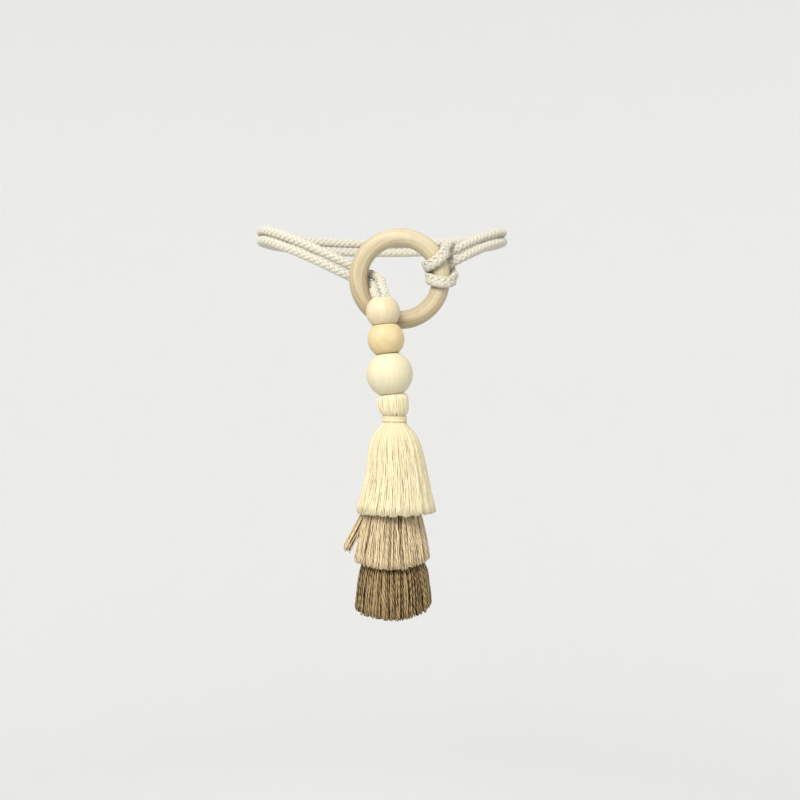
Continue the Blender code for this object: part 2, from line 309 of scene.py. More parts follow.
class Finish:
    """A material under construction."""

    def __init__(self, name):
        self.material = bpy.data.materials.new(name)
        self.material.use_nodes = True
        self.tree = self.material.node_tree
        self.tree.nodes.clear()

    def node(self, kind, settings, inputs, output=0):
        """Any node: its settings first, then what goes into its sockets."""
        made = self.tree.nodes.new(kind)
        for setting, value in settings.items():
            setattr(made, setting, value)
        for socket, value in inputs.items():
            if isinstance(value, Signal):
                self.tree.links.new(value.socket, made.inputs[socket])
            else:
                made.inputs[socket].default_value = value
        return Signal(self, made.outputs[output]) if made.outputs else None

    def blend(self, share, first, second, how="MIX"):
        """A colour between two colours."""
        settings = {"data_type": "RGBA", "blend_type": how, "clamp_factor": True}
        return self.node("ShaderNodeMix", settings, {0: share, 6: first, 7: second}, 2)

    def steps(self, value, low, high):
        """0 below low, 1 above high, and a soft step between."""
        settings = {"interpolation_type": "SMOOTHSTEP"}
        inputs = {"Value": value, "From Min": low, "From Max": high}
        return self.node("ShaderNodeMapRange", settings, inputs)

    def grain(self, place, scale, detail=2.0, size=1.0):
        """Noise read at a place that is scaled by three numbers a metre."""
        spread = self.node("ShaderNodeMapping", {}, {"Vector": place, "Scale": scale})
        return self.node("ShaderNodeTexNoise", {}, {"Vector": spread, "Scale": size, "Detail": detail})

    def surface(self, colour, roughness, height, depth, **steady):
        """The shader: what varies over the surface, and the numbers that stay the same."""
        bump = self.node("ShaderNodeBump", {}, {"Strength": 1.0, "Distance": depth, "Height": height})
        inputs = {"Base Color": colour, "Roughness": roughness, "Normal": bump}
        inputs.update({name.replace("_", " "): value for name, value in steady.items()})
        shader = self.node("ShaderNodeBsdfPrincipled", {}, inputs)
        self.node("ShaderNodeOutputMaterial", {}, {"Surface": shader})
        return self.material


# %% [markdown]
# ## The braided cotton cord
# The cord is 5.3 mm thick and close to a metre long. It is the first piece to make, since the
# ring and beads have to sit on it. Its route runs up from the tassel through the beads and the
# ring, round the back of the curtain, makes the hitch on the ring and returns beside itself. The
# points below are the middle line of the pair, and the two strands lie side by side on it. In
# the beads' holes the soft strands are squeezed together.

# %% The cord's route
BRAID_LEAD = 14.0
CORD_STEP = BRAID_LEAD / 24
PAIR_HALF = 2.83
PAIR_ROUTE = [
    # x, y, z of the pair's middle; side where strand A lies, degrees from up towards +X; thickness
    (6.5, -64.5, -94.1, 84, 0.94), (4.0, -64.5, -70.8, 84, 0.94), (1.8, -64.5, -50.2, 84, 0.94),
    (1.15, -64.1, -44.8, 83, 0.94), (0.2, -61.2, -40.8, 72, 0.94), (-0.9, -56.0, -37.4, 48, 0.94),
    (-1.1, -50.7, -34.1, 28, 0.9), (-4.7, -44.0, -31.2, 22, 0.94), (-10.6, -41.4, -28.9, 22, 1.0),
    (-18.4, -40.5, -25.2, 27, 1.0), (-31.0, -38.6, -18.9, 27, 1.0), (-45.0, -33.4, -12.0, 25, 1.0),
    (-57.5, -25.8, -6.2, 18, 1.0), (-67.2, -15.6, -1.8, 6, 1.0), (-72.3, 0.0, 0.0, 0, 1.0),
    (-66.8, 16.1, 0.0, 0, 1.0), (-51.1, 29.7, 0.0, 0, 1.0), (-27.7, 38.8, 0.0, 0, 1.0),
    (0.0, 42.0, 0.0, 0, 1.0), (27.7, 38.8, 0.0, 0, 1.0), (51.1, 29.7, 0.0, 0, 1.0),
    (66.8, 16.1, -0.2, 0, 1.0), (72.3, 0.0, -0.4, -3, 1.0), (67.6, -14.9, -3.2, -10, 1.0),
    (58.0, -26.5, -7.8, -24, 1.0), (50.4, -35.2, -12.4, -28, 0.97), (44.4, -41.6, -16.2, -30, 0.9),
    (38.6, -42.9, -19.6, -30, 0.86), (32.8, -41.9, -23.2, -30, 0.84),
]
KNOT_THICKNESS = 0.82
KNOT_ROUTE = [
    # x, y, z from strand A, round the ring, down behind the pair and round the ring again to strand B
    (26.6, -44.2, -23.8), (24.6, -50.0, -25.2), (26.3, -55.7, -25.0), (31.2, -57.9, -22.3),
    (35.1, -55.5, -18.2), (37.0, -49.2, -13.4), (38.5, -43.0, -11.0), (38.9, -38.6, -12.4),
    (38.6, -37.0, -17.2), (39.0, -37.3, -22.8), (40.5, -40.8, -27.0), (41.3, -46.8, -30.1),
    (38.7, -55.4, -33.8), (33.2, -57.9, -34.3), (27.9, -55.9, -33.0), (25.6, -50.4, -31.2),
    (27.6, -44.2, -29.4),
]


def strand_points(side):
    """Points of one strand, beside the pair's middle line, with their thickness."""
    middle = np.array([row[:3] for row in PAIR_ROUTE])
    lean = np.radians([row[3] for row in PAIR_ROUTE])
    along = unit(np.gradient(middle, axis=0))
    across = np.stack([np.sin(lean), np.zeros(len(lean)), np.cos(lean)], axis=1)
    across = unit(across - (across * along).sum(axis=1)[:, None] * along)
    squeeze = np.interp(middle[:, 2], [-45.0, -41.0, -32.0, -26.0], [0.8, 0.87, 0.88, 1.0])
    points = middle + side * PAIR_HALF * squeeze[:, None] * across
    return [(*point, row[4] * share ** 0.2) for point, row, share in zip(points, PAIR_ROUTE, squeeze)]


knot_points = [(*point, KNOT_THICKNESS) for point in KNOT_ROUTE]
cord_points = np.array(strand_points(1) + knot_points + strand_points(-1)[::-1])
cord_line, cord_length = even_steps(smooth_curve(cord_points, 24), CORD_STEP)
cord_axis, cord_size = cord_line[:, :3], cord_line[:, 3]
print("cord length, mm:", round(cord_length, 1))

# %% [markdown]
# A round braid has eight carriers of loose cotton. Four wind one way and four the other, and
# each goes over one and under the next, which is a wave in its distance from the middle. The
# lengths of the wave and of the turn are tied together, so the crossings always fit. A plain
# tube with a braid bump would keep a smooth outline, so the carriers are real. Where the hitch
# pulls the cord hard against the ring it is flattened a little and spreads sideways.

# %% Eight carriers
RING_CENTRE = np.array([10.7, -50.2, -31.6])
RING_RADIUS = 22.5
BRAID_RADIUS = 1.80
BRAID_WAVE = 0.38
CARRIER_WIDE = 1.2
CARRIER_THICK = 0.66
CORE_RADIUS = 1.6

# the hitch's grip: how near the ring's wire line it pulls the cord, how far at most, and by what
# share the cord gets flatter and wider
GRIP_GAP = 6.85
GRIP_PULL = 1.1
FLATTER = 0.3
WIDER = 0.6


def carried_sides(points):
    """Two directions across a line that don't twist as they go along it."""
    along = unit(np.gradient(points, axis=0))
    side = np.cross(along[0], (0.0, 1.0, 0.0))
    sides = []
    for direction in along:
        side = unit(side - direction * (side @ direction))
        sides.append(side)
    sides = np.array(sides)
    return along, sides, np.cross(along, sides)


def ring_pull(points):
    """How far each point is from the ring's wire line, and the direction away from it."""
    flat = points - RING_CENTRE
    flat[:, 1] = 0
    nearest = RING_CENTRE + unit(flat) * RING_RADIUS
    away = points - nearest
    return np.linalg.norm(away, axis=1), unit(away)


def soft_step(value, low, high):
    """0 below low, 1 above high, and a soft step between."""
    share = np.clip((value - low) / (high - low), 0, 1)
    return share * share * (3 - 2 * share)


# the grip acts where the cord is thin and near the ring
ring_gap, ring_away = ring_pull(cord_axis)
pressed = soft_step(-ring_gap, -11.0, -8.0) * soft_step(-cord_size, -0.9, -0.84)
cord_axis = cord_axis - (pressed * np.clip(ring_gap - GRIP_GAP, 0, GRIP_PULL))[:, None] * ring_away
cord_along, cord_side, cord_up = carried_sides(cord_axis)
cord_turn = math.tau / BRAID_LEAD * np.arange(len(cord_axis)) * (cord_length / (len(cord_axis) - 1))
ring_beside = np.cross(cord_along, ring_away)


def pressed_offset(offset, ring=slice(None)):
    """Offsets from the cord's middle line after the hitch has flattened it against the ring."""
    flat = (offset * ring_away[ring]).sum(axis=-1, keepdims=True) * ring_away[ring]
    wide = (offset * ring_beside[ring]).sum(axis=-1, keepdims=True) * ring_beside[ring]
    share = pressed[ring][..., None]
    return offset - FLATTER * share * flat + WIDER * share * wide


carriers, carrier_out, carrier_painted_shade = [], [], []
for carrier in range(8):
    way = 1 if carrier < 4 else -1
    angle = (way * cord_turn + carrier % 4 * math.pi / 2)[:, None]
    above = way * np.cos(4 * cord_turn)
    radius = (BRAID_RADIUS + BRAID_WAVE * (1 - 0.35 * pressed) * above) * cord_size
    out = np.cos(angle) * cord_side + np.sin(angle) * cord_up
    carriers.append(cord_axis + pressed_offset(radius[:, None] * out))
    carrier_out.append(out)
    # painted shade: a carrier is painted darker where it dips under the next one
    carrier_painted_shade.append(0.62 + 0.38 * above)
carriers, carrier_out = np.array(carriers), np.array(carrier_out)
carrier_size = np.tile(cord_size * (1 + 0.55 * pressed), (8, 1))
braid = yarn_bundle("braid", carriers, carrier_out, CARRIER_WIDE * carrier_size,
                    CARRIER_THICK * np.tile(cord_size, (8, 1)), np.array(carrier_painted_shade), 6)
core_line, _ = even_steps(np.column_stack([cord_axis, cord_size * (1 - 0.5 * pressed)]), 2.0)
_, core_side, _ = carried_sides(core_line[:, :3])
core_size = CORE_RADIUS * core_line[None, :, 3]
# the core's shade of 0 paints it the deepest cotton colour, painted shade where it shows between the
# carriers
core = yarn_bundle("core", core_line[None, :, :3], core_side[None], core_size, core_size, np.zeros(1), 8)

# %% [markdown]
# The cotton is undyed, soft white and matt. Each carrier is itself many fine fibres laid side by
# side, so noise that is stretched along the carrier's UV map streaks and roughens it. Painted shade
# turns the fibres slightly grey-brown deep between the carriers, where light doesn't reach. Shade
# tells how far a carrier is on top and paints it darker where it dips under, and the crest, a sine
# round the tube, paints its edges darker than its middle, both as painted shade. A smooth stripe
# would be simpler, and would look like plastic.

# %% Cotton
def cotton(name, pale, deep, streaks):
    """Matt cotton whose fibres run along the piece's own UV map. Streaks is how often they change
    in the cord's length."""
    finish = Finish(name)
    uv = finish.node("ShaderNodeUVMap", {"uv_map": "UVMap"}, {})
    around = finish.node("ShaderNodeSeparateXYZ", {}, {"Vector": uv})
    shade = finish.node("ShaderNodeAttribute", {"attribute_name": "shade"}, {}, "Fac")
    place = finish.node("ShaderNodeTexCoord", {}, {}, "Object")
    patches = finish.grain(place, (160, 160, 160), 2)
    fluff = finish.grain(place, (5200, 5200, 5200), 1)
    strands = finish.grain(uv, (18, streaks, 1), 2)
    crest = finish.steps((around * math.tau).sine(), -0.1, 0.75)
    # painted shade: shade and crest darken the carriers where they dip under and at their edges; patches,
    # strands and fluff are the cotton's own uneven tone
    tone = shade * 0.35 + crest * 0.55 + patches * 0.2 + strands * 0.4 + fluff * 0.1 - 0.2
    colour = finish.blend(finish.steps(tone, 0.2, 0.95), deep, pale)
    height = strands * 2.0 + fluff * 0.3
    return finish.surface(colour, 0.78 + fluff * 0.12, height, 0.00008, Sheen_Weight=0.35,
                          Sheen_Roughness=0.5, Specular_IOR_Level=0.3)


# deep is the grey-brown of the painted shade between the carriers
white_cotton = cotton("white cotton", (0.55, 0.525, 0.43, 1), (0.49, 0.45, 0.34, 1), streaks=240)
cord_mesh = joined("braided_cord", [braid, core])
cord = place_piece("braided_cord", cord_mesh, white_cotton, "cotton_cord", "tie_cord")

# %% [markdown]
# ## Turned wood
# The ring and beads are pale beech under a satin lacquer. Wood is layered: the tree's year rings
# cut through the piece as soft bands, and fine fibres run along the grain. The bands are a sine
# of the distance from the tree's heart, which a little noise makes uneven, and the fibres are
# noise stretched a long way in one direction. One noise texture alone would look like stone.

# %% Wood
def wood(name, centre, heart, band, wander, figure, pale, deep, turn, drift=0.0):
    """Lacquered wood. Centre and heart are in mm, the heart from the centre; the grain is upright
    before it is turned. Band is the width of a year ring in mm, wander how uneven it is and figure
    how strongly it shows. Drift is how much deeper the colour gets downwards."""
    finish = Finish(name)
    place = finish.node("ShaderNodeTexCoord", {}, {}, "Object")
    moved = finish.node("ShaderNodeVectorMath", {"operation": "SUBTRACT"},
                        {0: place, 1: [v * MM for v in centre]})
    turned = [math.radians(angle) for angle in turn]
    grown = finish.node("ShaderNodeMapping", {}, {"Vector": moved, "Rotation": turned})
    from_heart = finish.node("ShaderNodeVectorMath", {"operation": "SUBTRACT"},
                             {0: grown, 1: [v * MM for v in heart]})
    x = finish.node("ShaderNodeSeparateXYZ", {}, {"Vector": from_heart})
    y, z = x.part("Y"), x.part("Z")
    distance = (x * x + y * y) ** 0.5
    uneven = finish.grain(grown, (90, 90, 30), 3)
    bands = ((distance * (1000 / band) + uneven * wander) * math.tau).sine() * 0.5 + 0.5
    fibres = finish.grain(grown, (2600, 2600, 90), 3)
    pores = finish.steps(finish.grain(grown, (1500, 1500, 260), 1), 0.62, 0.78)
    patches = finish.grain(grown, (70, 70, 40), 2)
    tone = bands * figure + fibres * 0.35 + patches * 0.5 - z * drift - 0.15
    colour = finish.blend(finish.steps(tone, 0.0, 0.95), pale, deep)
    colour = finish.blend(pores * 0.25, colour, [v * 0.7 for v in deep[:3]] + [1.0])
    height = fibres * 0.5 - pores * 0.5 - bands * 0.2
    return finish.surface(colour, 0.46 + fibres * 0.16, height, 0.00005, Coat_Weight=0.08,
                          Coat_Roughness=0.35, Specular_IOR_Level=0.4)


# %% [markdown]
# ### The ring
# The ring is turned from one plank: a wire of wood 10 mm thick, 55 mm across outside. Its
# section is a circle spun once round the ring's middle. The plank's layers lie flat in the
# ring's plane, so the bands follow the limb round, and the colour gets a little deeper downwards,
# along a slightly tilted line. Blender has a ready torus as well, but a spin is what the lathe
# does, and its section could be any shape.

# %% Ring
RING_WIRE = 5.0


def wooden_ring():
    """A circle spun round the ring's middle, with its axis along Y."""
    shape = bmesh.new()
    bmesh.ops.create_circle(shape, segments=40, radius=RING_WIRE * MM)
    bmesh.ops.translate(shape, verts=shape.verts[:], vec=(RING_RADIUS * MM, 0, 0))
    bmesh.ops.spin(shape, geom=shape.verts[:] + shape.edges[:], cent=(0, 0, 0), axis=(0, 1, 0),
                   angle=math.tau, steps=128, use_merge=True)
    bmesh.ops.translate(shape, verts=shape.verts[:], vec=Vector(RING_CENTRE) * MM)
    bmesh.ops.recalc_face_normals(shape, faces=shape.faces[:])
    for face in shape.faces:
        face.smooth = True
    mesh = bpy.data.meshes.new("ring")
    shape.to_mesh(mesh)
    shape.free()
    return mesh


RING_PALE = (0.54, 0.465, 0.31, 1)
RING_DEEP = (0.325, 0.25, 0.135, 1)
ring_wood = wood("ring wood", RING_CENTRE, heart=(5, 400, 0), band=1.1, wander=0.6, figure=0.3,
                 pale=RING_PALE, deep=RING_DEEP, turn=(0, -35, 0), drift=9.0)
place_piece("ring", wooden_ring(), ring_wood, "ring_wood", "wooden_ring")

# %% [markdown]
# ### The beads
# Each bead is a ball with a wide hole for both strands of the cord. A ball is cut flat above and
# below where it meets the hole, the two rims are bridged to make the hole's wall, and the rims
# are bevelled, as a turner breaks the edge with sandpaper. A boolean could drill the hole, but it
# leaves ragged faces at the rim, where the bevel needs clean loops.

# %% Beads
# radii of the holes in mm; the top of the upper bead has a narrower one
BEAD_BORE = 5.85
TOP_HOLE = {"upper_bead": 4.5}
BEADS = [
    # name, node, radius, centre x, centre z
    ("upper_bead", "bead_small", 9.0, 1.90, -51.10),
    ("middle_bead", "bead_medium", 9.8, 3.44, -65.51),
    ("lower_bead", "bead_large", 12.3, 5.41, -84.00),
]
CHAIN_Y = -64.5
CHAIN_LEAN = math.radians(6.1)


def bead_mesh(name, radius, x, z):
    """A bored ball with softened rims, leaning with the line of beads."""
    shape = bmesh.new()
    bmesh.ops.create_uvsphere(shape, u_segments=72, v_segments=48, radius=radius * MM)
    for way, hole in ((1, TOP_HOLE.get(name, BEAD_BORE)), (-1, BEAD_BORE)):
        height = math.sqrt(radius ** 2 - (hole + 0.15) ** 2)
        bmesh.ops.bisect_plane(shape, geom=shape.verts[:] + shape.edges[:] + shape.faces[:], dist=1e-6,
                               plane_co=(0, 0, way * height * MM), plane_no=(0, 0, way), clear_outer=True)
    rims = [edge for edge in shape.edges if edge.is_boundary]
    bmesh.ops.bridge_loops(shape, edges=rims)
    rims = [edge for edge in shape.edges if edge.calc_face_angle(0) > 0.6]
    bmesh.ops.bevel(shape, geom=rims, offset=0.2 * MM, offset_type="OFFSET", segments=3, profile=0.5,
                    affect="EDGES", material=-1)
    bmesh.ops.recalc_face_normals(shape, faces=shape.faces[:])
    upright = Vector((0, 0, 1))
    leaning = Vector((-math.sin(CHAIN_LEAN), 0, math.cos(CHAIN_LEAN)))
    bmesh.ops.rotate(shape, verts=shape.verts[:], cent=(0, 0, 0),
                     matrix=upright.rotation_difference(leaning).to_matrix())
    bmesh.ops.translate(shape, verts=shape.verts[:], vec=(x * MM, CHAIN_Y * MM, z * MM))
    for face in shape.faces:
        face.smooth = True
    mesh = bpy.data.meshes.new(name)
    shape.to_mesh(mesh)
    shape.free()
    return mesh


BEAD_WOODS = {
    # heart, band, wander, figure, pale, deep, turn
    "upper_bead": ((28, 30, 0), 2.6, 0.9, 0.1,
                   (0.645, 0.56, 0.385, 1), (0.50, 0.41, 0.24, 1), (0, 4, 0)),
    "middle_bead": ((-34, 24, 0), 3.0, 0.9, 0.11,
                    (0.65, 0.525, 0.295, 1), (0.49, 0.365, 0.175, 1), (6, 0, 30)),
    "lower_bead": ((36, 30, 0), 2.8, 0.9, 0.08,
                   (0.65, 0.60, 0.415, 1), (0.53, 0.46, 0.29, 1), (-5, 6, 20)),
}
for bead_name, bead_node, bead_radius, bead_x, bead_z in BEADS:
    bead_finish = wood(bead_name + " wood", (bead_x, CHAIN_Y, bead_z), *BEAD_WOODS[bead_name])
    ball = bead_mesh(bead_name, bead_radius, bead_x, bead_z)
    place_piece(bead_name, ball, bead_finish, "bead_wood", bead_node)

# %% [markdown]
# ## Silky yarn
# The tassel is made of mercerised cotton, which shines a little along its length. Two plies are
# twisted together, so a narrow seam slants round each yarn, darkened as painted shade. It is a sine
# of the way round and the way along, with a soft step to keep it narrow: modelled plies would cost
# many times the faces. The crest, a sine round the yarn, paints its edges darker than its middle,
# as painted shade between neighbours. The shade number moves each yarn between a deeper and a
# paler colour of the same dye: at random from yarn to yarn, as painted shade on the inner yarns
# and at the roots, and as painted light towards the tips.

# %% Yarn
def silky_yarn(name, pale, deep, turns, twist, groove, gloss, shine):
    """Two-ply yarn that follows the piece's own UV map. Turns is the number of twists in a length;
    twist and groove are how dark the painted shade in the plies' seam and at the yarns' edges is;
    gloss is the roughness, and shine how strongly the yarn reflects."""
    finish = Finish(name)
    uv = finish.node("ShaderNodeUVMap", {"uv_map": "UVMap"}, {})
    around = finish.node("ShaderNodeSeparateXYZ", {}, {"Vector": uv})
    length = around.part("Y")
    shade = finish.node("ShaderNodeAttribute", {"attribute_name": "shade"}, {}, "Fac")
    place = finish.node("ShaderNodeTexCoord", {}, {}, "Object")
    slubs = finish.grain(place, (420, 420, 110), 1)
    fibres = finish.grain(place, (6500, 6500, 1300), 1)
    phase = finish.node("ShaderNodeAttribute", {"attribute_name": "phase"}, {}, "Fac")
    # painted shade: the seam between the plies is darkened in the colour
    plies = finish.steps(((around * 2 + length * turns + phase) * math.tau).sine(), -1.0, 0.0)
    # painted shade: the outer crest stays pale and the yarn's edges are darkened, by groove
    crest = finish.steps((around * math.tau).sine(), -0.2, 0.7)
    tone = shade * 0.75 + slubs * 0.3 + fibres * 0.35 + plies * twist + crest * groove
    tone = tone - (0.2 + 0.7 * twist + groove)
    colour = finish.blend(finish.steps(tone, 0.0, 0.95), deep, pale)
    height = plies * 1.2 + fibres * 0.4
    depth = 0.0002 * twist + 0.00003
    return finish.surface(colour, gloss + fibres * 0.16, height, depth, Specular_IOR_Level=shine)


# %% [markdown]
# ## The tassel's skirts
# Three skirts hang one under another. Each is a few layers of yarn that leave a gathered root,
# swell out and hang to a hem that was cut with shears, so it is nearly level. The yarns are not
# evenly spread: they stick together in loose locks with dark partings between, a few wander
# across their neighbours, and each is cut a hair longer or shorter. All of that is in the lines
# that the yarns follow. Hair particles could grow such a skirt, but they don't export as a mesh.
# Inside, a fluted core stands for the yarns that are never seen whole. It stops light from showing
# between the outer ones, and in the two upper tiers it is hollow, so that a look up the skirt
# meets its lining of threads. In the beige and brown tiers the core is painted in deep tones, as
# painted shade in the partings.

# %% Skirts
SKIRTS = {
    # z, x of the skirt's middle, outer radius, inner radius, in mm
    "cream": [
        (-107.6, 7.9, 5.7, 2.6), (-110.0, 7.9, 6.3, 2.9), (-113.6, 8.0, 9.9, 3.7),
        (-119.5, 8.1, 13.4, 4.7), (-136.0, 9.2, 16.4, 7.9), (-156.4, 8.8, 21.2, 17.0),
    ],
    "beige": [
        (-138.0, 8.2, 5.2, 2.0), (-141.0, 8.2, 7.4, 2.6), (-147.0, 7.9, 10.4, 4.0),
        (-158.5, 6.9, 15.4, 5.7), (-171.0, 6.6, 18.5, 9.4), (-182.4, 6.6, 20.4, 16.8),
    ],
    "brown": [
        (-165.0, 6.8, 5.2, 1.5), (-170.0, 6.9, 8.6, 1.6), (-179.0, 7.1, 13.4, 1.8),
        (-188.0, 7.3, 17.8, 2.0), (-208.4, 7.3, 20.4, 2.4),
    ],
}
RINGS = 13  # along each yarn


def waves(rng, angle, orders, count):
    """A smooth random function of the angle round the skirt, between about -1 and 1."""
    total = np.zeros_like(angle)
    for order in rng.integers(orders[0], orders[1], count):
        total += rng.normal() * np.sin(order * angle + rng.uniform(0, math.tau))
    return total / math.sqrt(count)


def partings(rng, angle, orders, count, depth):
    """How far yarns shift sideways, in radians, to bunch into locks. A depth of 1 would close them."""
    total = np.zeros_like(angle)
    for order in rng.integers(orders[0], orders[1], count):
        wave = rng.normal() * np.sin(order * angle + rng.uniform(0, math.tau))
        total += depth / order / math.sqrt(count) * wave
    return total


def skirt_levels(name):
    """Axis x, z, outer and inner radius at each ring of a yarn, from root to hem."""
    rows = np.array([(outer, axis, z, inner) for z, axis, outer, inner in SKIRTS[name]])
    even, _ = even_steps(smooth_curve(rows, 12), 0.25)
    picked = even[np.linspace(0, len(even) - 1, RINGS).astype(int)]
    return picked[:, 1], picked[:, 2], picked[:, 0], picked[:, 3]


def skirt_yarns(name, seed, width, layers, spacing, rough, painted_inner_shade, front_dip, lifts, stray=None):
    """A skirt's yarns as one mesh. Spacing is in yarn widths, rough how unevenly they lie; the painted
    shade of the inner yarns is how much darker they are painted; front dip how much lower the hem is
    in front, and lifts how much shorter it is at the sides."""
    rng = np.random.default_rng(seed)
    axis, height, outer, inner = skirt_levels(name)
    down = (height[0] - height) / (height[0] - height[-1])
    hem = outer[-1]

    # where each yarn stands: its angle, how deep inside, and its size
    angles, depths, sizes = [], [], []
    for layer, (inset, size) in enumerate(layers):
        radius = hem - inset * (hem - inner[-1]) - size * width / 2
        count = int(math.tau * radius / (width * size * spacing))
        spread = (np.arange(count) + rng.uniform(-0.35, 0.35, count)) / count * math.tau
        angles.append(spread + rng.uniform(0, 1))
        depths.append(np.full(count, inset))
        sizes.append(np.full(count, size))
    angle, depth, size = (np.concatenate(parts) for parts in (angles, depths, sizes))
    count = len(angle)

    # what each yarn does: it joins a lock, slants a little and has a slight crimp
    locks = partings(rng, angle, (18, 56), 9, 0.8 * rough)
    lock_lift = waves(rng, angle, (10, 40), 8)
    lock_shade = waves(rng, angle, (6, 40), 8)
    wanderers = np.where(rng.random(count) < 0.08, rng.normal(0, 0.17 * rough, count), 0)
    slant = rng.normal(0, 0.06 * rough, count) + wanderers
    wave_phase = rng.uniform(0, math.tau, (2, count))
    wave_count = rng.uniform(1.2, 4.0, (2, count))

    grown = down[None, :]
    loose = soft_step(grown, 0.0, 0.4)
    crimp = [0.24 * loose * np.sin(math.tau * wave_count[way][:, None] * grown + wave_phase[way][:, None])
             for way in (0, 1)]

    # its line: how far out, how far round and how far down it is at each ring
    radius = inner[None, :] + (outer - width / 2 - inner)[None, :] * (1 - depth[:, None])
    lift = rough * (0.26 * lock_lift + rng.normal(0, 0.2, count))
    radius = radius + lift[:, None] * (0.35 + 0.65 * loose) - 0.1
    radius = radius + 0.6 * crimp[0]
    turn = angle[:, None] + (locks + slant)[:, None] * grown ** 1.2 + crimp[1] / np.maximum(radius, 2)

    # the cut: a hair longer or shorter, lower in front and shorter at the sides
    longer = rng.normal(0, 0.4, count) + 0.25 * waves(rng, angle, (9, 30), 4)
    longer = longer - front_dip / 2 * np.sin(angle)
    longer = np.minimum(longer, front_dip / 2 + 0.9)
    longer = longer - lifts[0] * np.maximum(0, -np.cos(angle)) ** 2
    longer = longer - lifts[1] * np.maximum(0, np.cos(angle)) ** 2
    drop = height[None, :] - longer[:, None] * grown ** 2

    # the stray lock swings out below its root
    if stray:
        start, end, out, short = stray
        picked = (angle % math.tau > start) & (angle % math.tau < end) & (depth < 0.5)
        picked = (picked & (rng.random(count) < 0.9))[:, None]
        swing = np.maximum(0, (grown - 0.3) / 0.7) ** 1.15
        share = rng.uniform(0.6, 1.0, count)[:, None]
        radius = radius + picked * swing * out * share
        drop = drop + picked * swing * short * share

    out = np.stack([np.cos(turn), np.sin(turn), np.full(turn.shape, 0.25)], axis=2)
    lines = np.stack([axis[None, :] + radius * np.cos(turn), CHAIN_Y + radius * np.sin(turn), drop], axis=2)
    swell = (0.55 + 0.45 * soft_step(grown, 0.0, 0.35)) * size[:, None]
    wide = width / 2 * swell * rng.uniform(0.82, 1.12, count)[:, None]
    # each yarn's shade: a random tone per lock and per yarn, less the painted shade of the inner layers;
    # then painted shade at the root, under the tier above, and painted light towards the hem's tips
    shades = 0.62 + 0.12 * lock_shade + rng.normal(0, 0.22, count) - painted_inner_shade * depth
    shades = np.clip(shades[:, None] + 0.28 * grown ** 2 - 0.12, 0, 1)
    return yarn_bundle(name, lines, out, wide, wide * 0.92, shades, 5)


def core_mesh(name, profile, flutes, tones):
    """The inner yarns of a bundle as one closed fluted body: rows of radius, z and x of its middle,
    in mm, from the top down its outside, and for a hollow one up again inside. Each flute is a yarn,
    with its shade between the two tones."""
    rng = np.random.default_rng(flutes)
    shape = bmesh.new()
    shade = shape.verts.layers.float.new("shade")
    top = shape.verts.new((0, 0, profile[0][1] * MM))
    rows = [shape.verts.new((radius * MM, 0, z * MM)) for radius, z, _ in profile]
    foot = shape.verts.new((0, 0, profile[-1][1] * MM))
    line = [top] + rows + [foot]
    edges = [shape.edges.new(pair) for pair in zip(line, line[1:])]
    bmesh.ops.spin(shape, geom=line + edges, cent=(0, 0, 0), axis=(0, 0, 1), angle=math.tau,
                   steps=2 * flutes, use_merge=True)
    bmesh.ops.remove_doubles(shape, verts=shape.verts[:], dist=1e-7)
    bmesh.ops.recalc_face_normals(shape, faces=shape.faces[:])
    heights, middles = zip(*sorted((-z, x) for _, z, x in profile))
    yarn_tones = rng.uniform(*tones, flutes)
    for vert in shape.verts:
        step = round(math.atan2(vert.co.y, vert.co.x) / math.tau * 2 * flutes)
        vert[shade] = yarn_tones[step // 2 % flutes]
        groove = 0.5 * math.tau / flutes if step % 2 else 0.0
        vert.co.x *= 1 - groove
        vert.co.y *= 1 - groove
        vert.co.x += np.interp(-vert.co.z / MM, heights, middles) * MM
        vert.co.y += CHAIN_Y * MM
    for face in shape.faces:
        face.smooth = True
    mesh = bpy.data.meshes.new(name)
    shape.to_mesh(mesh)
    shape.free()
    return mesh


cream_yarn = silky_yarn("cream yarn", (0.78, 0.71, 0.49, 1), (0.56, 0.465, 0.265, 1),
                        turns=16, twist=0.12, groove=0.16, gloss=0.42, shine=0.28)
beige_yarn = silky_yarn("beige yarn", (0.745, 0.605, 0.385, 1), (0.23, 0.15, 0.062, 1),
                        turns=13, twist=0.34, groove=0.3, gloss=0.34, shine=0.26)
brown_yarn = silky_yarn("brown yarn", (0.42, 0.297, 0.148, 1), (0.022, 0.009, 0.001, 1),
                        turns=12, twist=0.44, groove=0.86, gloss=0.26, shine=0.07)

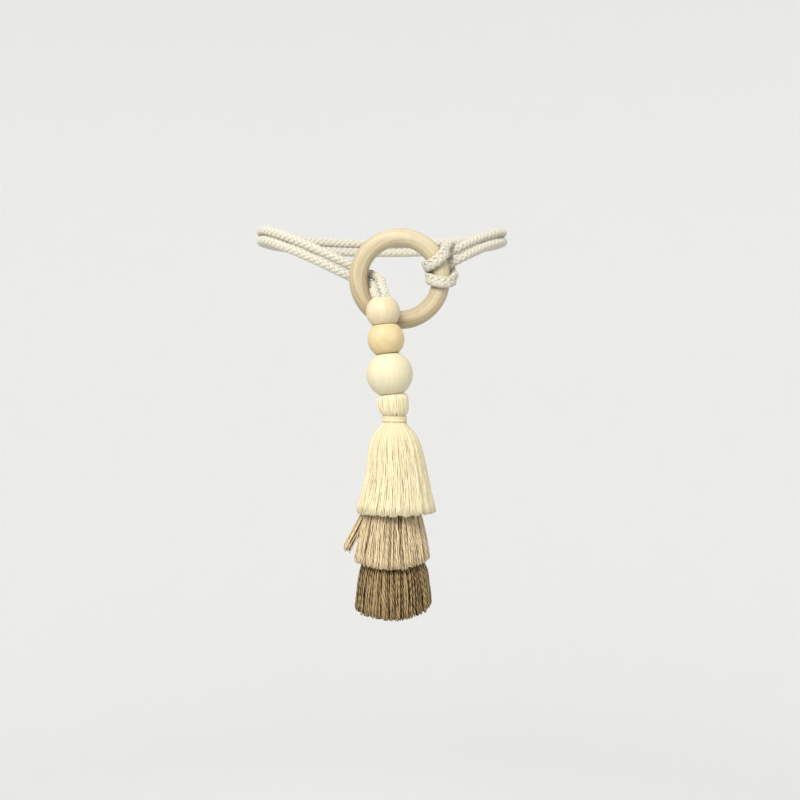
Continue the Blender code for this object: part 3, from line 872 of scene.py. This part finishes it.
# each layer of yarns: how deep inside the skirt, from 0 to 1, and the yarns' size
CREAM_LAYERS = [(0.0, 1.0), (0.06, 1.0), (0.14, 1.0), (0.32, 1.1), (0.56, 1.2), (0.82, 1.2)]
BEIGE_LAYERS = [(0.0, 1.0), (0.1, 1.0), (0.24, 1.0), (0.42, 1.05), (0.62, 1.1), (0.85, 1.1)]
BROWN_LAYERS = [(0.0, 1.0), (0.045, 1.0), (0.09, 1.0), (0.14, 1.1), (0.22, 1.5), (0.32, 1.6), (0.43, 1.7),
                (0.54, 1.8), (0.66, 1.9), (0.78, 2.0), (0.9, 2.0)]
CORES = {
    # radius, z, x of the middle
    "cream": [
        (4.6, -107.0, 7.9), (5.2, -110.5, 7.9), (8.2, -114.0, 8.0), (10.6, -120.0, 8.1),
        (12.8, -136.0, 9.2), (15.2, -150.5, 9.0), (15.4, -153.0, 8.9), (14.8, -153.2, 8.9),
        (14.2, -150.6, 9.0), (12.2, -145.0, 9.1), (8.4, -137.0, 9.2), (6.0, -134.0, 9.1),
    ],
    "beige": [
        (1.9, -110.8, 8.0), (2.3, -113.5, 8.0), (3.9, -125.0, 8.6), (5.0, -137.0, 8.2),
        (7.6, -146.0, 7.9), (11.6, -158.5, 6.9), (14.0, -171.0, 6.6), (15.0, -176.5, 6.6),
        (15.2, -178.6, 6.6), (14.6, -178.8, 6.6), (13.8, -176.4, 6.6), (10.4, -169.8, 6.6),
        (8.0, -165.5, 6.7), (6.0, -162.5, 6.8),
    ],
    "brown": [
        (1.9, -139.3, 8.1), (2.2, -142.0, 8.0), (3.5, -153.0, 7.3), (5.0, -164.5, 6.8),
        (7.0, -171.0, 6.9), (10.4, -180.0, 7.1), (13.4, -189.0, 7.3), (14.6, -200.0, 7.3),
        (13.2, -202.0, 7.3), (5.0, -202.6, 7.3),
    ],
}

# the stray lock: from angle, to angle, how far its tip stands out and how much shorter it hangs
STRAY = (2.96, 3.42, 6.4, 6.4)
beige_yarns = skirt_yarns("beige", 21, 0.76, BEIGE_LAYERS, spacing=0.97, rough=0.4, painted_inner_shade=0.8,
                          front_dip=2.6, lifts=(1.2, 2.2), stray=STRAY)
# painted shade: the beige core's yarns are painted dark, so the partings show dark
beige_core = core_mesh("beige core", CORES["beige"], flutes=88, tones=(0.0, 0.5))
beige_mesh = joined("beige_skirt", [beige_yarns, beige_core])
place_piece("beige_skirt", beige_mesh, beige_yarn, "beige_yarn", "tassel_beige")

brown_yarns = skirt_yarns("brown", 31, 0.76, BROWN_LAYERS, spacing=1.05, rough=0.5, painted_inner_shade=6.0,
                          front_dip=2.6, lifts=(1.6, 3.4))
# painted shade: the brown core's yarns are painted near the deepest brown, so the partings show dark
brown_core = core_mesh("brown core", CORES["brown"], flutes=60, tones=(0.0, 0.3))
brown_mesh = joined("brown_skirt", [brown_yarns, brown_core])
place_piece("brown_skirt", brown_mesh, brown_yarn, "brown_yarn", "tassel_brown")

# %% [markdown]
# ## The head and its binding
# The cream yarns are folded over the cord's ends under the lowest bead, and tied round to make
# a neck. The head shows the same yarns as the cream skirt, bulging like a small barrel and
# closing together in narrow Vs where the binding grips them. One turned body with painted lines
# would be lighter, but its outline would be smooth and its foot would lack the Vs. The binding is
# a finer, smooth thread wound seven times round, so it is one helix and not a stack of rings.

# %% Head, cream skirt and binding
HEAD_PROFILE = [
    # radius, z of the outside of the yarn, from the top down into the binding
    (3.2, -95.2), (4.6, -94.85), (6.7, -95.0), (8.0, -96.4), (8.4, -98.8), (8.1, -102.0), (7.3, -104.4),
    (6.4, -105.6), (5.8, -106.4), (5.6, -109.5),
]
# z and x of the head's middle, which leans with the beads above and hangs plumb below
HEAD_X = [(-94.9, 6.7), (-99.2, 7.1), (-105.7, 7.9), (-109.9, 7.9)]


def head_yarns():
    """The folded yarns over the head, in two layers."""
    rng = np.random.default_rng(11)
    rows = np.array([(radius, z, 0.0) for radius, z in HEAD_PROFILE])
    even, _ = even_steps(smooth_curve(rows, 12), 0.2)
    picked = even[np.linspace(0, len(even) - 1, 22).astype(int)]
    slope = unit(np.gradient(picked[:, :2], axis=0))
    lines, outs, sizes = [], [], []
    for layer, count in ((0, 76), (1, 70)):
        angle = (np.arange(count) + rng.uniform(-0.2, 0.2, count)) / count * math.tau
        angle = angle + partings(rng, angle, (12, 34), 8, 0.05)
        closing = soft_step(-picked[:, 1], 101.0, 106.5)[None, :]
        turn = angle[:, None] + rng.normal(0, 0.022, count)[:, None] * closing
        turn = turn + 0.02 * np.sin(0.5 * picked[None, :, 1] + rng.uniform(0, 6, count)[:, None])
        radius = picked[None, :, 0] + slope[None, :, 1] * (0.4 + 0.6 * layer)
        radius = radius + rng.normal(0, 0.05, count)[:, None]
        height = picked[None, :, 1] - slope[None, :, 0] * (0.4 + 0.6 * layer) + 0 * turn
        axis = np.interp(-height, [-z for z, _ in HEAD_X], [x for _, x in HEAD_X])
        leaning = math.tan(CHAIN_LEAN) * radius * np.cos(turn) + 0.3
        height = height + leaning * soft_step(height, -103.0, -96.0)
        x, y = axis + radius * np.cos(turn), CHAIN_Y + radius * np.sin(turn)
        lines.append(np.stack([x, y, height], axis=2))
        outs.append(np.stack([-slope[None, :, 1] * np.cos(turn), -slope[None, :, 1] * np.sin(turn),
                              slope[None, :, 0] + 0 * turn], axis=2))
        sizes.append(np.clip(radius * math.tau / count * 0.66, 0.1, 0.46))
    lines, outs, sizes = (np.concatenate(parts) for parts in (lines, outs, sizes))
    # painted light: the head's yarns are painted paler than the skirt's, to make up for the shade under the
    # lowest bead
    shades = np.clip(rng.normal(0.78, 0.2, len(lines)), 0, 1)
    return yarn_bundle("head", lines, outs, sizes, sizes * 0.9, shades, 5)


HEAD_CORE = [
    # radius, z, x of the middle
    (3.0, -95.6, 6.7), (5.7, -96.4, 6.8), (7.1, -99.2, 7.1), (6.8, -102.5, 7.5), (5.8, -105.2, 7.9),
    (5.1, -106.3, 7.9), (4.7, -109.0, 7.9),
]
cream_yarns = skirt_yarns("cream", 12, 0.64, CREAM_LAYERS, spacing=0.92, rough=0.17, painted_inner_shade=0.35,
                          front_dip=0.0, lifts=(0.0, 0.3))
cream_core = core_mesh("cream core", CORES["cream"], flutes=96, tones=(0.1, 0.9))
head_core = core_mesh("head core", HEAD_CORE, flutes=60, tones=(0.4, 0.9))
cream_mesh = joined("cream_skirt", [cream_yarns, head_yarns(), head_core, cream_core])
place_piece("cream_head_and_skirt", cream_mesh, cream_yarn, "cream_yarn", "tassel_cream")

BINDING_TURNS = 7
BINDING_TOP, BINDING_FOOT = -106.15, -109.45
BINDING_X = 7.9
BINDING_RADIUS = 5.75


def binding_thread():
    """One thread wound round the neck, its two ends tucked in."""
    steps = BINDING_TURNS * 44
    share = np.linspace(0, 1, steps)
    turn = share * BINDING_TURNS * math.tau + 1.9
    tucked = soft_step(share, 0.0, 0.02) * soft_step(-share, -1.0, -0.98)
    radius = BINDING_RADIUS + 0.6 * tucked + 0.07 * np.sin(turn * 0.73) + 0.05 * np.sin(turn * 0.19)
    height = BINDING_TOP - 0.25 + (BINDING_FOOT - BINDING_TOP + 0.5) * share
    height = height + 0.09 * np.sin(turn * 0.91 + 1)
    x, y = BINDING_X + radius * np.cos(turn), CHAIN_Y + radius * np.sin(turn)
    line = np.stack([x, y, height], axis=1)[None]
    out = np.stack([np.cos(turn), np.sin(turn), 0 * turn], axis=1)[None]
    size = np.full((1, steps), 1.0)
    return yarn_bundle("binding", line, out, 0.27 * size, 0.33 * size, np.array([0.8]), 8)


binding_yarn = silky_yarn("binding thread", (0.74, 0.66, 0.42, 1), (0.60, 0.50, 0.28, 1),
                          turns=260, twist=0.03, groove=0.12, gloss=0.36, shine=0.28)
place_piece("binding", binding_thread(), binding_yarn, "cream_yarn", "neck_binding")
